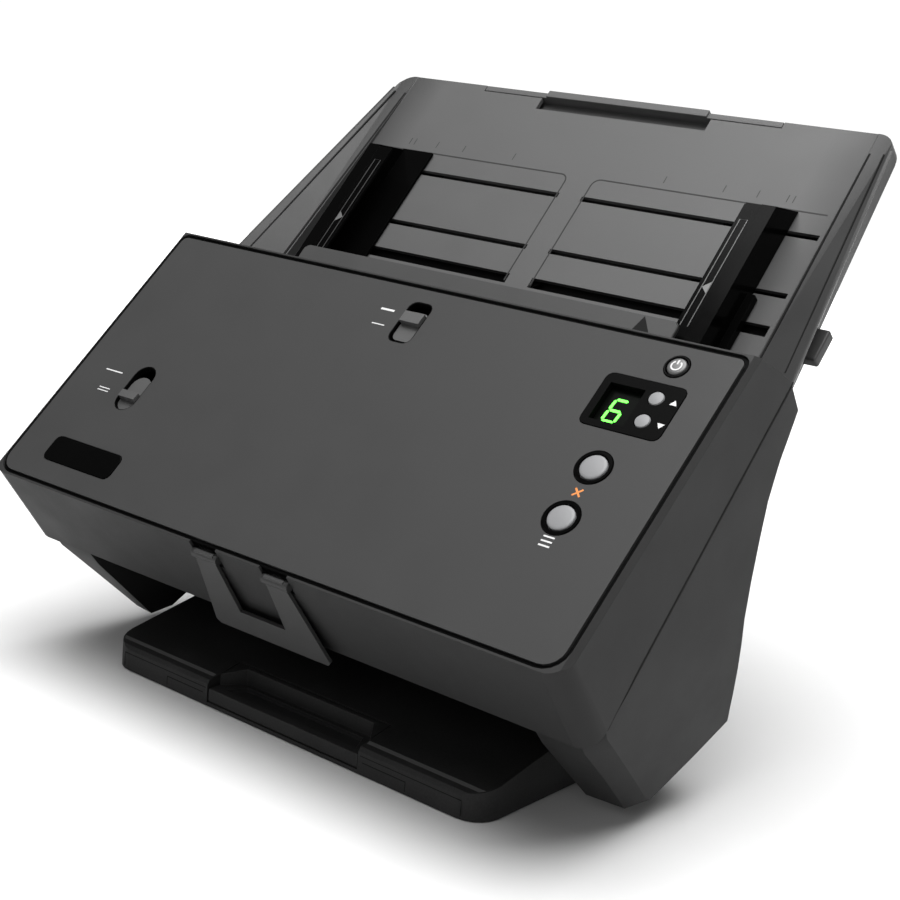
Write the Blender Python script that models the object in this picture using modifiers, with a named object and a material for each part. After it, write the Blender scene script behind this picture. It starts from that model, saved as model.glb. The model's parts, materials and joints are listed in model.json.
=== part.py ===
"""Sheet fed document scanner: base with cheeks and feed chute, hinged lid, rollers and output tray.

Design values are in millimetres. x runs to the object's right, y from the front to the back and
z up from the desk. The design's y is counted from the front panel's lower edge; world() moves it
so that the model's origin is the middle of its footprint.
"""
from math import acos, atan2, cos, hypot, pi, radians, sin, tau

import bmesh
import bpy
from mathutils import Matrix, Vector

MM = 0.001
GAP = 0.3                      # clearance between neighbouring solids

# ---- overall ---------------------------------------------------------------
HALF_WIDTH = 159.0             # lid and cheeks
CHEEK_INNER = 128.0            # inner face of the cheeks
CHASSIS_HALF = 127.5
CHEEK_MIDDLE = 151.5           # where the cheeks' front edge starts to turn
CHEEK_TAPER = (80.0, 13.6, 8.8)    # height where the cheeks start to bend in, lowest height, bend there

# ---- front panel -----------------------------------------------------------
PANEL_TILT = radians(43.4)
PANEL_FOOT = (0.0, 86.4)       # y, z of the panel's lower edge
PANEL_LENGTH = 142.2
PANEL_HALF = 154.9
PANEL_THICK = 3.0
SEAM = 2.0                     # groove around the panel
POCKET_DEPTH = 4.0

# ---- paper path and chute --------------------------------------------------
PATH_TILT = radians(48.2)
PATH_POINT = (165.7, 186.8)    # y, z of the path's zero mark (t = 0, h = 0)
CHUTE_TOP = 104.5              # t at the chute's top edge
CHUTE_FOOT = -30.5             # t at the chute's lower edge
CHUTE_BACK_HALF = (147.5, 139.0)   # half widths at the foot and at the top
CHUTE_RIM_HALF = (158.6, 139.4)
CREASE_HALF = (133.0, 129.5)
RIM_RISE = (13.4, 0.4)         # heights above the floor, at the foot and at the top
CREASE_RISE = (4.8, 0.2)
CHUTE_RADIUS = 9.0
CHUTE_DEEP = 7.8               # thickness of the chute's moulding behind the floor
FLOOR_SKIN = 2.2
PATH_EXIT = -172.0             # t where the sheet leaves the path

# ---- rollers and gears -----------------------------------------------------
FEED_T, FEED_R = -62.0, 9.0
DRIVE_T, DRIVE_R = -97.0, 8.0
EXIT_T, EXIT_R = -145.0, 8.0
GEAR_MODULE = 1.25
GEAR_X = -116.5                # left face of the gears
GEAR_THICK = 5.0
FEED_TEETH, DRIVE_TEETH, EXIT_TEETH = 14, 16, 14
UPPER_IDLER_TEETH, LOWER_IDLER_TEETH, PINION_TEETH = 14, 24, 10

# ---- guides ----------------------------------------------------------------
GUIDE_INNER = 107.0            # inner face of a guide's wall
GUIDE_OUTER = 113.8
GUIDE_FOOT = 89.0
GUIDE_FLANGE = 99.0
GUIDE_HIGH = 17.0
RACK_MODULE = 1.5
RACK_TEETH = 12                # teeth of the guides' pinion
RACK_START = -9.0              # middle of the right rack's first tooth
RACK_COUNT = 21
GUIDE_SLOT_T = -2.5            # middle of the slot the guides run in

# ---- output tray -----------------------------------------------------------
TRAY_FRONT = 28.8
TRAY_BACK = 111.6
TRAY_HALF = 108.0
TRAY_LIP = 12.7
TRAY_RISE = 0.2126
DRAWER_HALF = 44.0
DRAWER_BACK = 48.0             # where the drawer's grip ends and its plate goes on
PLATE_HALF = 40.0

LID_PIVOT = (26.2, 52.0)       # y, z of the lid's hinge line
FLAP_PIVOT = (0.9, 79.8)       # y, z of the paper stop's hinge line
FLAP_TOP = (-1.6, 81.3)
FLAP_FOOT = (22.0, 43.5)
FLAP_THICK = 1.6

PANEL_BUTTONS = {              # name: (x, s up the panel, cap radius, ring radius)
    "power": (129.6, 132.4, 4.0, 5.3),
    "cancel": (122.2, 80.5, 5.6, 7.7),
    "scan": (122.2, 56.5, 5.6, 7.7),
}
ARROW_BUTTONS = {"up": (129.6, 116.2), "down": (129.7, 105.1)}
ARROW_R = 3.2
BEZEL = (104.0, 140.3, 97.9, 123.3)          # x0, x1, s0, s1
WINDOW = (107.5, 123.5, 100.8, 118.7)
MODE_SLOT = (-114.0, 44.0, 69.3, 6.3)        # x, s0, s1, half width
THICK_SLOT = (1.1, 113.0, 135.4, 6.4)
BADGE = (-135.0, -91.0, 10.2, 23.0)


def path_yz(t, h):
    """y, z of a point t along the paper path and h above it."""
    return (PATH_POINT[0] + t * cos(PATH_TILT) - h * sin(PATH_TILT),
            PATH_POINT[1] + t * sin(PATH_TILT) + h * cos(PATH_TILT))


def panel_yz(s, h):
    """y, z of a point s up the front panel and h above it."""
    return (PANEL_FOOT[0] + s * cos(PANEL_TILT) - h * sin(PANEL_TILT),
            PANEL_FOOT[1] + s * sin(PANEL_TILT) + h * cos(PANEL_TILT))


RIM_FOOT = panel_yz(-2.8, 0.0)
Y_MID = (RIM_FOOT[0] + path_yz(CHUTE_TOP, -CHUTE_DEEP)[0]) / 2


def world(x, y, z):
    return Vector((x, y - Y_MID, z)) * MM


def side_frame(y=0.0, z=0.0, x=0.0):
    """Local x, y, z run along the object's y, z and x: for profiles seen from the side."""
    turn = Matrix(((0, 0, 1), (1, 0, 0), (0, 1, 0))).to_4x4()
    return Matrix.Translation(world(x, y, z)) @ turn


def panel_frame(x=0.0, s=0.0, h=0.0):
    y, z = panel_yz(s, h)
    return Matrix.Translation(world(x, y, z)) @ Matrix.Rotation(PANEL_TILT, 4, "X")


def chute_frame(x=0.0, t=0.0, h=0.0):
    y, z = path_yz(t, h)
    return Matrix.Translation(world(x, y, z)) @ Matrix.Rotation(PATH_TILT, 4, "X")


def upright_frame(x=0.0, y=0.0, z=0.0):
    return Matrix.Translation(world(x, y, z))


# ---- scene and materials ---------------------------------------------------
def clear_scene():
    for obj in list(bpy.data.objects):
        bpy.data.objects.remove(obj, do_unlink=True)


clear_scene()
PARTS = bpy.data.collections.new("document_scanner")
CUTTERS = bpy.data.collections.new("cutters")
bpy.context.scene.collection.children.link(PARTS)
bpy.context.scene.collection.children.link(CUTTERS)


def make_material(name, colour, roughness, metallic=0.0, alpha=1.0):
    mat = bpy.data.materials.new(name)
    mat.use_nodes = True
    shader = mat.node_tree.nodes["Principled BSDF"]
    shader.inputs["Base Color"].default_value = (*colour, 1.0)
    shader.inputs["Roughness"].default_value = roughness
    shader.inputs["Metallic"].default_value = metallic
    shader.inputs["Alpha"].default_value = alpha
    return mat


GRAPHITE = make_material("graphite_plastic", (0.085, 0.085, 0.087), 0.45)
CHARCOAL = make_material("charcoal_plastic", (0.048, 0.048, 0.050), 0.5)
SMOKE = make_material("smoke_grey_plastic", (0.13, 0.13, 0.133), 0.45)
BLACK = make_material("black_plastic", (0.008, 0.008, 0.009), 0.4)
GLOSS = make_material("gloss_black_plastic", (0.004, 0.004, 0.004), 0.12)
KEYCAP = make_material("keycap_plastic", (0.5, 0.5, 0.51), 0.4)
SWITCH = make_material("switch_plastic", (0.10, 0.10, 0.102), 0.4)
DISPLAY = make_material("display_plastic", (0.01, 0.012, 0.01), 0.15)
RUBBER = make_material("roller_rubber", (0.05, 0.055, 0.06), 0.85)
FOOT_RUBBER = make_material("foot_rubber", (0.015, 0.015, 0.015), 0.9)
ACETAL = make_material("gear_acetal", (0.75, 0.74, 0.70), 0.45)
STEEL = make_material("zinc_steel", (0.55, 0.55, 0.56), 0.35, 1.0)
BOARD = make_material("circuit_board", (0.02, 0.12, 0.05), 0.5)
GLASS = make_material("scan_glass", (0.35, 0.4, 0.4), 0.05, 0.0, 0.35)
MODULE = make_material("sensor_housing", (0.02, 0.02, 0.022), 0.55)


def link(obj, collection, material=None):
    collection.objects.link(obj)
    if material:
        obj.data.materials.clear()
        obj.data.materials.append(material)
    return obj


def new_object(name, mesh, frame, collection=PARTS, material=None):
    obj = bpy.data.objects.new(name, mesh)
    obj.matrix_world = frame
    return link(obj, collection, material)


def smooth(obj, angle=35.0):
    obj.data.shade_smooth()
    obj.data.set_sharp_from_angle(angle=radians(angle))
    return obj


# ---- outlines --------------------------------------------------------------
def arc(centre, radius, start, stop, count):
    """Points on an arc, angles in degrees, both ends included."""
    steps = [radians(start + (stop - start) * i / count) for i in range(count + 1)]
    return [(centre[0] + radius * cos(a), centre[1] + radius * sin(a)) for a in steps]


def circle(centre, radius, count=24):
    return arc(centre, radius, 0, 360, count)[:-1]


def rounded_rect(x0, x1, y0, y1, radii, count=4):
    """Corner radii run bottom left, bottom right, top right, top left."""
    corners = [(x0, y0, 1, 1, 180), (x1, y0, -1, 1, 270), (x1, y1, -1, -1, 0), (x0, y1, 1, -1, 90)]
    points = []
    for (cx, cy, dx, dy, start), r in zip(corners, radii):
        if r <= 0:
            points.append((cx, cy))
        else:
            points += arc((cx + dx * r, cy + dy * r), r, start, start + 90, count)
    return points


def box_outline(x0, x1, y0, y1):
    return [(x0, y0), (x1, y0), (x1, y1), (x0, y1)]


def extrude(name, outlines, low, high, frame, material=None, collection=PARTS):
    """A flat outline, with its holes, drawn as a 2D curve and given a thickness from low to high."""
    curve = bpy.data.curves.new(name + "_outline", "CURVE")
    curve.dimensions = "2D"
    curve.fill_mode = "BOTH"
    curve.extrude = (high - low) / 2 * MM
    for points in outlines:
        spline = curve.splines.new("POLY")
        spline.points.add(len(points) - 1)
        spline.use_cyclic_u = True
        for point, (x, y) in zip(spline.points, points):
            point.co = (x * MM, y * MM, 0.0, 1.0)
    temp = bpy.data.objects.new(name + "_curve", curve)
    bpy.context.scene.collection.objects.link(temp)
    bpy.context.view_layer.update()
    depsgraph = bpy.context.evaluated_depsgraph_get()
    mesh = bpy.data.meshes.new_from_object(temp.evaluated_get(depsgraph))
    bpy.data.objects.remove(temp, do_unlink=True)
    mesh.name = name
    mesh.transform(Matrix.Translation((0, 0, (low + high) / 2 * MM)))
    weld(mesh)
    return new_object(name, mesh, frame, collection, material)


def weld(mesh):
    """Join the loose caps of a filled curve to its walls, one flat face for each plane."""
    bm = bmesh.new()
    bm.from_mesh(mesh)
    bmesh.ops.remove_doubles(bm, verts=bm.verts, dist=0.00001)
    bmesh.ops.recalc_face_normals(bm, faces=bm.faces)
    bm.to_mesh(mesh)
    bm.free()


def profile_x(name, points, x0, x1, material=None, collection=PARTS, holes=()):
    """A side profile in y, z carried from x0 to x1."""
    outlines = [points, *holes]
    return extrude(name, outlines, x0, x1, side_frame_zero(), material, collection)


def side_frame_zero():
    turn = Matrix(((0, 0, 1), (1, 0, 0), (0, 1, 0))).to_4x4()
    return Matrix.Translation(world(0, 0, 0)) @ turn


def block(name, frame, x, y, z, material=None, collection=PARTS):
    """A box between the given limits of the frame's own axes."""
    bm = bmesh.new()
    bmesh.ops.create_cube(bm, size=1.0)
    size = Matrix.Diagonal(((x[1] - x[0]) * MM, (y[1] - y[0]) * MM, (z[1] - z[0]) * MM, 1.0))
    middle = Vector(((x[0] + x[1]) / 2, (y[0] + y[1]) / 2, (z[0] + z[1]) / 2)) * MM
    bmesh.ops.transform(bm, matrix=Matrix.Translation(middle) @ size, verts=bm.verts)
    mesh = bpy.data.meshes.new(name)
    bm.to_mesh(mesh)
    bm.free()
    return new_object(name, mesh, frame, collection, material)


def cylinder(name, frame, radius, low, high, segments=24, material=None, collection=PARTS):
    """A round bar along the frame's z."""
    bm = bmesh.new()
    bmesh.ops.create_cone(bm, cap_ends=True, segments=segments, radius1=radius * MM,
                          radius2=radius * MM, depth=(high - low) * MM)
    bmesh.ops.translate(bm, vec=(0, 0, (low + high) / 2 * MM), verts=bm.verts)
    mesh = bpy.data.meshes.new(name)
    bm.to_mesh(mesh)
    bm.free()
    return smooth(new_object(name, mesh, frame, collection, material))


def turned(name, frame, profile, segments=24, material=None):
    """A profile of (radius, height) pairs, top to bottom, turned about the frame's z."""
    mesh = bpy.data.meshes.new(name)
    bm = bmesh.new()
    verts = [bm.verts.new((r * MM, 0, z * MM)) for r, z in profile]
    for a, b in zip(verts, verts[1:]):
        bm.edges.new((a, b))
    bm.to_mesh(mesh)
    bm.free()
    obj = new_object(name, mesh, frame, PARTS, material)
    screw = obj.modifiers.new("turn", "SCREW")
    screw.axis = "Z"
    screw.angle = tau
    screw.steps = segments
    screw.render_steps = segments
    screw.use_merge_vertices = True
    screw.merge_threshold = 0.00001
    return obj


def hide_cutter(obj):
    obj.hide_render = True
    obj.display_type = "WIRE"
    return obj


def boolean(obj, tool, operation="DIFFERENCE"):
    modifier = obj.modifiers.new(tool.name, "BOOLEAN")
    modifier.operation = operation
    modifier.solver = "EXACT"
    modifier.object = hide_cutter(tool)
    return obj


def bevel_edges(obj, wanted, width, segments=1):
    """Bevel the edges whose two ends, in the frame's own millimetres, pass the test."""
    bm = bmesh.new()
    bm.from_mesh(obj.data)
    edges = [e for e in bm.edges if all(wanted(*(v.co / MM)) for v in e.verts)]
    bmesh.ops.bevel(bm, geom=edges, offset=width * MM, segments=segments, profile=0.5, affect="EDGES")
    bm.to_mesh(obj.data)
    bm.free()
    return obj


def dissolve_flat(obj):
    """Turn the triangles of flat caps back into single faces."""
    bm = bmesh.new()
    bm.from_mesh(obj.data)
    bmesh.ops.dissolve_limit(bm, angle_limit=0.001, verts=bm.verts, edges=bm.edges)
    bm.to_mesh(obj.data)
    bm.free()
    return obj


# ---- lid -------------------------------------------------------------------
CREASE = (4.7, 75.3)
CHIN = (24.3, 49.4)
CHIN_RADIUS = 9.0
LIP_HALF, LIP_T = 105.0, -20.4    # roof over the feed mouth
GAP_LINE = [(31.2, 56.9), (47.5, 77.0), (80.1, 113.2), (133.7, 173.0)]
LID_BACK_TOP = panel_yz(PANEL_LENGTH + 2.8, 0.0)


def offset_gap(amount):
    """The lid's parting line, moved towards the lid by the amount."""
    return [(y - amount * sin(PATH_TILT), z + amount * cos(PATH_TILT)) for y, z in GAP_LINE]


def chin_corner(side):
    """What is cut away to round the lid's upright front corner."""
    edge, r = HALF_WIDTH, CHIN_RADIUS
    points = [(edge + 3, -3), (edge + 3, r + 0.01), (edge, r + 0.01)]
    points += arc((edge - r, r), r, 0, -90, 6) + [(edge - r, -3)]
    down = Vector((0, CHIN[0] - RIM_FOOT[0], CHIN[1] - RIM_FOOT[1])).normalized()
    axes = Matrix(((1, 0, 0), (0, -down.z, down.y), (0, -down.y, -down.z))).transposed().to_4x4()
    frame = Matrix.Translation(world(0, *RIM_FOOT)) @ axes
    return extrude(f"chin_corner_{side}", [[(side * x, y) for x, y in points]], -70, 30, frame, None, CUTTERS)


def lid_shell():
    outline = [RIM_FOOT, CREASE, CHIN, *offset_gap(0.4), LID_BACK_TOP]
    shell = dissolve_flat(profile_x("lid_shell", outline, -HALF_WIDTH, HALF_WIDTH, GRAPHITE))

    def depth(y, z):
        return -(y - PANEL_FOOT[0]) * sin(PANEL_TILT) + (z - PANEL_FOOT[1]) * cos(PANEL_TILT)

    for side in (-1, 1):
        bevel_edges(shell, lambda y, z, x: abs(depth(y, z)) < 0.02 and x * side > HALF_WIDTH - 0.01, 2.2)
    for side in (-1, 1):
        boolean(shell, chin_corner(side))
    pocket = extrude("lid_pocket", [rounded_rect(-PANEL_HALF - SEAM, PANEL_HALF + SEAM, -1.8,
                                                 PANEL_LENGTH + SEAM, (10, 10, 5, 5), 5)],
                     -POCKET_DEPTH, 6, panel_frame(), None, CUTTERS)
    boolean(shell, pocket)
    window = extrude("lid_window", [box_outline(-145, 145, 9, 138.6)], -9, 0, panel_frame(), None, CUTTERS)
    boolean(shell, window)
    cavity = profile_x("lid_cavity", [panel_yz(2.0, -6.5), (9.0, 75.8), (27.4, 52.0), (33, 40), (150, 160),
                                      (132.2, 170.6), panel_yz(139.5, -6.5)], -150, 150, None, CUTTERS)
    boolean(shell, cavity)
    for side in (-1, 1):
        notch = profile_x(f"flap_recess_{side}", [(-6, 88), (0.9, 86), (3.6, 82.2), (4.6, 76.2), (-6, 76.2)],
                          20 * side - 7.6, 20 * side + 7.6, None, CUTTERS)
        boolean(shell, notch)
        hub = side_frame(*LID_PIVOT, x=120 * side)
        boolean(shell, cylinder(f"hinge_clear_{side}", hub, 2.4, -2.4, 2.4, 16, None, CUTTERS))
        boolean(shell, cylinder(f"hinge_bore_{side}", hub, 1.4, -7.3, 7.3, 16, None, CUTTERS))
    plan = rounded_rect(-LIP_HALF, LIP_HALF, -35.0, LIP_T, (0, 0, 3, 3), 3)
    boolean(shell, extrude("feed_lip", [plan], 21.2, 22.8, chute_frame(), None, CUTTERS), "UNION")
    return shell


def front_panel():
    holes = [circle((x, s), ring + GAP, 28) for x, s, _, ring in PANEL_BUTTONS.values()]
    x0, x1, s0, s1 = BEZEL
    holes.append(rounded_rect(x0 - GAP, x1 + GAP, s0 - GAP, s1 + GAP, (3.3,) * 4, 3))
    holes.append(slot_outline(MODE_SLOT))
    holes.append(slot_outline(THICK_SLOT, 4.0))
    x0, x1, s0, s1 = BADGE
    outline = rounded_rect(-PANEL_HALF, PANEL_HALF, 0, PANEL_LENGTH, (8, 8, 3, 3), 5)
    panel = extrude("front_panel", [outline, *holes], -PANEL_THICK, 0, panel_frame(), SMOKE)
    sink = extrude("badge_sink", [rounded_rect(x0 - 0.3, x1 + 0.3, s0 - 0.3, s1 + 0.3, (3.3,) * 4, 3)],
                   -0.9, 2, panel_frame(), None, CUTTERS)
    return boolean(panel, sink)


def slot_outline(slot, radius=None, shrink=0.0):
    x, s0, s1, half = slot
    half -= shrink
    r = half if radius is None else radius - shrink
    return rounded_rect(x - half, x + half, s0 + shrink, s1 - shrink, (r,) * 4, 5)


def seam_trim():
    outer = rounded_rect(-PANEL_HALF - 1.7, PANEL_HALF + 1.7, -1.5, PANEL_LENGTH + 1.7,
                         (9.7, 9.7, 4.7, 4.7), 5)
    inner = rounded_rect(-PANEL_HALF - GAP, PANEL_HALF + GAP, -GAP, PANEL_LENGTH + GAP,
                         (8.3, 8.3, 3.3, 3.3), 5)
    return extrude("panel_seam_trim", [outer, inner], -POCKET_DEPTH + GAP, -1.0, panel_frame(), BLACK)


def display_bezel():
    x0, x1, s0, s1 = BEZEL
    outline = rounded_rect(x0, x1, s0, s1, (3,) * 4, 4)
    holes = [circle(place, ARROW_R + GAP, 20) for place in ARROW_BUTTONS.values()]
    holes.append(box_outline(*WINDOW))
    return extrude("display_bezel", [outline, *holes], -2.6, 0.25, panel_frame(), BLACK)


def segment_display():
    x0, x1, s0, s1 = WINDOW
    return block("segment_display", panel_frame(), (x0 - 0.8, x1 + 0.8), (s0 - 0.8, s1 + 0.8), (-5.0, -2.9),
                 DISPLAY)


def badge_plate():
    x0, x1, s0, s1 = BADGE
    return extrude("badge_plate", [rounded_rect(x0, x1, s0, s1, (3,) * 4, 4)], -0.6, 0.4, panel_frame(),
                   GLOSS)


def button_rings():
    for name, (x, s, cap, ring) in PANEL_BUTTONS.items():
        outline = [circle((0, 0), ring, 28), circle((0, 0), cap + GAP, 28)]
        extrude(f"{name}_button_ring", outline, -2.6, 0.25, panel_frame(x, s), GLOSS)


def push_button(name, x, s, radius, material, proud=0.7):
    """A cap with a flange behind the panel that keeps it in."""
    profile = [(0, proud), (radius - 0.7, proud), (radius, proud - 0.6), (radius, -3.4), (radius + 0.9, -3.4),
               (radius + 0.9, -4.4), (0, -4.4)]
    turned(name, panel_frame(x, s), profile, 24, material)


def buttons():
    for name, (x, s, cap, _) in PANEL_BUTTONS.items():
        push_button(f"{name}_button", x, s, cap, KEYCAP)
    for name, (x, s) in ARROW_BUTTONS.items():
        push_button(f"{name}_button", x, s, ARROW_R, KEYCAP)


def switch_knob(name, slot, s0, s1, ridge, radius):
    """A slider that fills most of its slot's width, with a finger ridge across it."""
    x, half = slot[0], slot[3] - 0.8
    plate = rounded_rect(x - half, x + half, s0, s1, (radius,) * 4, 4)
    knob = extrude(name, [plate], -3.4, -1.6, panel_frame(), SWITCH)
    bar = block(name + "_ridge", panel_frame(), (x - half + 0.3, x + half - 0.3), ridge, (-2.0, 1.2), None,
                CUTTERS)
    return boolean(knob, bar, "UNION")


def switch_knobs():
    switch_knob("mode_switch_knob", MODE_SLOT, 44.8, 64.0, (50.3, 54.0), 5.4)
    switch_knob("thickness_switch_knob", THICK_SLOT, 115.0, 131.0, (123.5, 129.0), 3.0)


def control_board():
    frame = panel_frame()
    return block("control_board", frame, (84, 144), (34, 132), (-9.2, -7.6), BOARD)


def lid_inner_guide():
    """The lid's lower skin: funnel, upper side of the paper path and exit lip."""
    outside = [(-185, 16.5), (-173, 1.2), (-60, 1.2), (-36.6, 12), (-36.6, 17)]
    inside = [(-38.8, 17), (-38.8, 13.2), (-61, 3.2), (-172, 3.2), (-182.2, 16.5)]
    guide = profile_x("lid_inner_guide", [path_yz(t, h) for t, h in outside + inside], -108.8, 108.8,
                      CHARCOAL)
    frame = chute_frame()
    windows = {"separator": ((-13, 13), (-71.5, -52.0)), "glass": ((-105.4, 105.4), (-124.4, -105.6))}
    for side in (-1, 1):
        for name, t in (("drive", DRIVE_T), ("exit", EXIT_T)):
            windows[f"{name}_{side}"] = ((50 * side - 12, 50 * side + 12), (t - 5.6, t + 5.6))
    for name, (x, t) in windows.items():
        boolean(guide, block(f"upper_{name}_window", frame, x, t, (-1, 9), None, CUTTERS))
    return guide


def scan_units():
    frame = chute_frame()
    block("upper_scan_glass", frame, (-105, 105), (-124, -106), (1.2, 3.0), GLASS)
    block("upper_scan_module", frame, (-104, 104), (-127, -103), (3.6, 16.0), MODULE)
    block("lower_scan_glass", frame, (-105, 105), (-124, -106), (-2.2, -0.4), GLASS)
    block("lower_scan_module", frame, (-104, 104), (-127, -105.6), (-17.0, -2.6), MODULE)


def roller_profile(shaft_r, half, bands):
    """Shaft of the given half length with rubber bands (middle, half width, radius) on it."""
    points = [(0, half), (shaft_r, half)]
    for middle, wide, radius in sorted(bands, reverse=True):
        points += [(shaft_r, middle + wide), (radius, middle + wide), (radius, middle - wide),
                   (shaft_r, middle - wide)]
    points += [(shaft_r, -half), (0, -half)]
    return points


def x_axis_frame(t, h):
    """Local z along the object's x, at a point of the paper path."""
    y, z = path_yz(t, h)
    return side_frame(y, z)


def upper_rollers():
    turned("separation_roller", x_axis_frame(FEED_T, 8.4), roller_profile(2.0, 22, [(0, 12, 8.0)]), 24,
           RUBBER)
    for name, t in (("drive_pinch_roller", DRIVE_T), ("exit_pinch_roller", EXIT_T)):
        bands = [(-50, 11, 5.0), (50, 11, 5.0)]
        turned(name, x_axis_frame(t, 5.4), roller_profile(1.8, 104, bands), 20, RUBBER)


def paper_stop_flap():
    """U shaped flap that hangs from the lid's chin over the paper exit."""
    length = hypot(FLAP_FOOT[0] - FLAP_TOP[0], FLAP_TOP[1] - FLAP_FOOT[1])
    outline = [(-25, 0), (-32.9, -length + 2), (-31, -length), (31, -length), (32.9, -length + 2), (25, 0),
               (14.6, 0), (13, -length + 13.5), (-13, -length + 13.5), (-14.6, 0)]
    flap = extrude("paper_stop_flap", [outline], -FLAP_THICK, 0, flap_frame(), CHARCOAL)
    for side in (-1, 1):
        barrel = cylinder(f"flap_barrel_{side}", side_frame(*FLAP_PIVOT, x=side * 20), 2.0, -7.2, 7.2, 16,
                          None,
                          CUTTERS)
        boolean(flap, barrel, "UNION")
    return flap


def flap_frame():
    """Local x along the object's x, local y up the flap, local z out of its front."""
    lean = atan2(FLAP_FOOT[0] - FLAP_TOP[0], FLAP_TOP[1] - FLAP_FOOT[1])
    return Matrix.Translation(world(0, *FLAP_TOP)) @ Matrix.Rotation(pi / 2 + lean, 4, "X")


# ---- base ------------------------------------------------------------------
def base_chassis():
    """Open tub between the cheeks that holds rollers, sensor, motor and gears."""
    outline = [path_yz(-36, -2.6), (150, 154), (146, 110), (148, 70), (150, 50), (118, 34), (72, 34),
               (60, 44),
               path_yz(PATH_EXIT - 1, -2.6)]
    tub = dissolve_flat(profile_x("base_chassis", outline, -CHASSIS_HALF, CHASSIS_HALF, CHARCOAL))
    inside = [path_yz(-46, 6), path_yz(-46, -2), (146.3, 147), (142.8, 110), (144.8, 70), (146, 53),
              (117, 37.4),
              (73.5, 37.4), (64.5, 45.5), path_yz(-164, -2), path_yz(-164, 6)]
    boolean(tub, profile_x("tub_inside", inside, -118, 118, None, CUTTERS))
    return tub


def cheek_rings():
    """Inner, middle and outer outlines of an upright cheek, point for point: (x, y, z)."""
    top = offset_gap(-0.75)
    nose_inner, nose_outer = (28.8, 48.6), (31.9, 55.7)
    front_inner = [(35.9, 40.2), (52.7, 24.6), (69.5, 9.0)]
    front_middle = [(31.8, 44.6), (51.5, 27.5), (74.0, 7.4)]
    front_outer = [(33.5, 52.5), (55.0, 33.0), (77.0, 13.6)]
    bottom = [(82.5, 10.3), (104.5, 21.9), (125.8, 33.2)]
    rear = [(124.2, 42.8), (122.4, 61.3), (121.3, 79.2), (122.7, 95.4), (124.7, 111.4), (127.2, 127.2),
            (132.3, 142.6), (139.2, 156.8), (141.6, 162.0)]
    shared = bottom + rear + [(134.2, 172.0)] + list(reversed(top[:-1]))
    inner = [(CHEEK_INNER, y, z) for y, z in [nose_inner] + front_inner + shared]
    middle = [(CHEEK_MIDDLE, y, z) for y, z in [nose_inner] + front_middle]
    middle += [(HALF_WIDTH - 1.2, y, z) for y, z in shared]
    outer = [(HALF_WIDTH, y, z) for y, z in [nose_outer] + front_outer]
    outer += [(HALF_WIDTH, *inset(y, z, 0.8)) for y, z in shared]
    return [inner, middle, outer]


def inset(y, z, amount):
    """Move a point of the cheek's outline a little towards the cheek's middle."""
    cy, cz = 95.0, 85.0
    away = hypot(y - cy, z - cz)
    return (y + (cy - y) / away * amount, z + (cz - z) / away * amount)


def lean_in(x, z):
    """Half width x of a cheek at the height z, once its outer side is bent in towards the foot."""
    high, low, most = CHEEK_TAPER
    share = (x - CHEEK_INNER) / (HALF_WIDTH - CHEEK_INNER)
    return x - share * most * max(0.0, (high - z) / (high - low)) ** 2


def cheek(name, side):
    """Loft through the three outlines, closed by its two faces, cut at even heights and bent."""
    bm = bmesh.new()
    rings = [[bm.verts.new(world(side * x, y, z)) for x, y, z in ring] for ring in cheek_rings()]
    count = len(rings[0])
    for low, high in zip(rings, rings[1:]):
        for i in range(count):
            j = (i + 1) % count
            bm.faces.new((low[i], low[j], high[j], high[i]))
    bm.faces.new(rings[0])
    bm.faces.new(rings[-1])
    bmesh.ops.triangulate(bm, faces=[face for face in bm.faces if len(face.verts) == 4])
    high, low, _ = CHEEK_TAPER
    for i in range(6):
        level = high + (low - high) * i / 6
        bmesh.ops.bisect_plane(bm, geom=bm.verts[:] + bm.edges[:] + bm.faces[:], dist=0.000001,
                               plane_co=(0, 0, level * MM), plane_no=(0, 0, 1))
    for vert in bm.verts:
        vert.co.x = side * lean_in(abs(vert.co.x) / MM, vert.co.z / MM) * MM
    bmesh.ops.triangulate(bm, faces=bm.faces)
    bmesh.ops.recalc_face_normals(bm, faces=bm.faces)
    mesh = bpy.data.meshes.new(name)
    bm.to_mesh(mesh)
    bm.free()
    return new_object(name, mesh, Matrix.Identity(4), PARTS, GRAPHITE)


def base_pedestal():
    """Foot of the machine behind the output tray, with the sockets in its rear wall."""
    outline = [(112, 3), (112, 33.6), (118, 33.6), (150.6, 49.8), (158, 50), (192, 24), (192, 3)]
    shell = profile_x("base_pedestal", outline, -130, 130, CHARCOAL)
    inside = [(115, 5.5), (115, 30.8), (119, 30.8), (151, 46.8), (157, 46.8), (189.4, 22.4), (189.4, 5.5)]
    boolean(shell, profile_x("pedestal_inside", inside, -101, 101, None, CUTTERS))
    plan = [(-126.5, 110), (126.5, 110), (126.5, 138), (115, 168), (104, 194), (-104, 194), (-115, 168),
            (-126.5, 138)]
    boolean(shell, extrude("pedestal_plan", [plan], -5, 60, upright_frame(), None, CUTTERS), "INTERSECT")
    boolean(shell, block("power_hole", upright_frame(), (50.7, 61.3), (186, 195), (7.7, 18.3), None, CUTTERS))
    boolean(shell, block("usb_hole", upright_frame(), (70.7, 83.3), (186, 195), (7.2, 18.8), None, CUTTERS))
    return shell


def sockets():
    power = block("power_socket", upright_frame(), (51, 61), (178, 192.6), (8, 18), BLACK)
    bore_frame = Matrix.Translation(world(56, 0, 13)) @ Matrix.Rotation(-pi / 2, 4, "X")
    boolean(power, cylinder("power_bore", bore_frame, 3.2, 181, 196, 20, None, CUTTERS))
    usb = block("usb_socket", upright_frame(), (71, 83), (178, 192.6), (7.5, 18.5), STEEL)
    boolean(usb, block("usb_mouth", upright_frame(), (72.6, 81.4), (181, 196), (9, 17), None, CUTTERS))


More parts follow.
